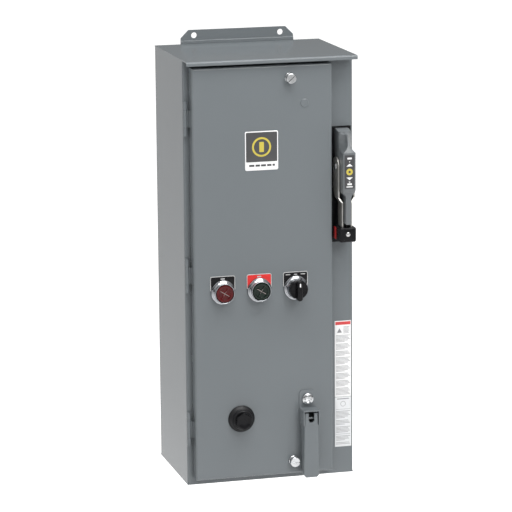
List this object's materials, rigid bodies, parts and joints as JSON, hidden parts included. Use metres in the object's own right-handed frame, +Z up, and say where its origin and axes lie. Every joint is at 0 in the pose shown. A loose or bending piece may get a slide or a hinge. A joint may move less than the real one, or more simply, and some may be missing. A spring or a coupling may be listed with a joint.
{
  "type": "magnetic motor starter",
  "caption": "Wall enclosure with a hinged door, pilot lights, selector, overload reset, pull latch and side disconnect handle, around a contactor starter.",
  "frame": {"origin": "centre of the four wall holes, on the wall plane", "axes": "+Z up, +Y into the wall, +X to the right seen from the front"},
  "size_m": [0.2927, 0.2555, 0.772],
  "materials": {
    "enclosure_paint": "satin",
    "cast_paint": "satin",
    "plated_steel": "bright zinc plate",
    "galvanised_panel": "galvanised",
    "gasket_foam": "matte",
    "badge_print": "printed",
    "legend_black": "printed",
    "legend_red": "printed",
    "chrome_trim": "polished",
    "red_lens": "clear",
    "green_lens": "clear",
    "black_plastic": "moulded",
    "boot_rubber": "moulded",
    "yoke_steel": "cadmium plate",
    "flag_red": "moulded",
    "rivet_aluminium": "turned",
    "handle_print": "printed",
    "label_white": "printed",
    "label_grey": "printed",
    "moulded_base": "moulded",
    "copper_contacts": "tinned copper",
    "fuse_body": "fibre",
    "coil_winding": "varnished",
    "core_steel": "laminated",
    "reset_blue": "moulded",
    "lug_aluminium": "extruded"
  },
  "bodies": {
    "enclosure": {"bottom_end": "enclosure_paint", "bottom_mounting_flange": "enclosure_paint", "contactor_base": "black_plastic", "contactor_coil": "coil_winding", "contactor_magnet": "core_steel", "contactor_terminals": "copper_contacts", "disconnect_base": "moulded_base", "enclosure_wrap": "enclosure_paint", "flange_label_lower": "label_grey", "flange_label_upper": "label_white", "fuse_clips": "moulded_base", "fuses": "fuse_body", "ground_lug": "lug_aluminium", "handle_backing": "black_plastic", "handle_housing": "cast_paint", "handle_label": "handle_print", "hinge_frame_knuckles": "enclosure_paint", "hinge_pins": "enclosure_paint", "line_terminals": "copper_contacts", "load_terminals": "copper_contacts", "mounting_panel": "galvanised_panel", "overload_base": "black_plastic", "overload_heaters": "copper_contacts", "panel_screws": "plated_steel", "screw_receptacles": "plated_steel", "top_hood": "enclosure_paint", "top_mounting_flange": "enclosure_paint", "transformer_coil": "coil_winding", "transformer_core": "core_steel"},
    "door": {"hinge_door_leaves": "enclosure_paint", "door_panel": "enclosure_paint", "door_gasket": "gasket_foam", "nameplate": "badge_print", "hole_plug": "enclosure_paint", "legend_plates_black": "legend_black", "legend_plate_red": "legend_red", "ring_nuts": "chrome_trim", "operator_bezels": "chrome_trim", "lens_red": "red_lens", "lens_green": "green_lens", "operator_blocks": "black_plastic", "reset_boot": "boot_rubber", "latch_plate": "enclosure_paint", "latch_screw": "plated_steel", "latch_pin": "enclosure_paint"},
    "handle": {"handle_yoke": "yoke_steel", "handle_shaft": "plated_steel", "drive_arm": "plated_steel", "handle_grip": "black_plastic", "handle_grip_flags": "flag_red", "handle_grip_rivet": "rivet_aluminium"},
    "blades": {"switch_blades": "copper_contacts", "blade_crossbar": "black_plastic"},
    "selector": {"selector_knob": "black_plastic"},
    "reset": {"reset_button": "black_plastic"},
    "relay_reset": {"overload_reset_lever": "reset_blue"},
    "latch": {"latch_lever": "enclosure_paint"},
    "screw_top": {"door_screw_top": "plated_steel"},
    "screw_bottom": {"door_screw_bottom": "plated_steel"},
    "contactor": {"contactor_crosshead": "black_plastic"}
  },
  "joints": [
    {"name": "door_hinge", "type": "hinge", "parent": "enclosure", "child": "door", "pos_m": [-0.1435, -0.206, 0], "axis": [0, 0, -1], "range_deg": [0, 135]},
    {"name": "handle_throw", "type": "hinge", "parent": "enclosure", "child": "handle", "pos_m": [0.125, -0.2205, 0.175], "axis": [-1, 0, 0], "range_deg": [0, 145]},
    {"name": "blade_throw", "type": "hinge", "parent": "enclosure", "child": "blades", "pos_m": [-0.024, -0.06, 0.125], "axis": [-1, 0, 0], "range_deg": [0, 45]},
    {"name": "selector_turn", "type": "hinge", "parent": "door", "child": "selector", "pos_m": [0.0388, -0.2293, -0.0265], "axis": [0, 1, 0], "range_deg": [-45, 45]},
    {"name": "reset_push", "type": "slide", "parent": "door", "child": "reset", "axis": [0, 1, 0], "range_m": [0, 0.006], "stiffness_N_per_m": 900, "springref_m": -0.001},
    {"name": "relay_reset_push", "type": "slide", "parent": "enclosure", "child": "relay_reset", "axis": [0, 1, 0], "range_m": [0, 0.006]},
    {"name": "latch_pull", "type": "hinge", "parent": "door", "child": "latch", "pos_m": [0.0585, -0.243, -0.25], "axis": [-1, 0, 0], "range_deg": [0, 75]},
    {"name": "screw_top_turn", "type": "hinge", "parent": "door", "child": "screw_top", "pos_m": [0.0306, -0.224, 0.3284], "axis": [0, 1, 0], "continuous": true},
    {"name": "screw_bottom_turn", "type": "hinge", "parent": "door", "child": "screw_bottom", "pos_m": [0.034, -0.224, -0.3272], "axis": [0, 1, 0], "continuous": true},
    {"name": "contactor_pull", "type": "slide", "parent": "enclosure", "child": "contactor", "axis": [0, 1, 0], "range_m": [0, 0.006], "stiffness_N_per_m": 600, "springref_m": -0.002}
  ],
  "couplings": [
    {"joint": "blade_throw", "follows": "handle_throw", "ratio": 0.3},
    {"joint": "relay_reset_push", "follows": "reset_push", "ratio": 1}
  ]
}
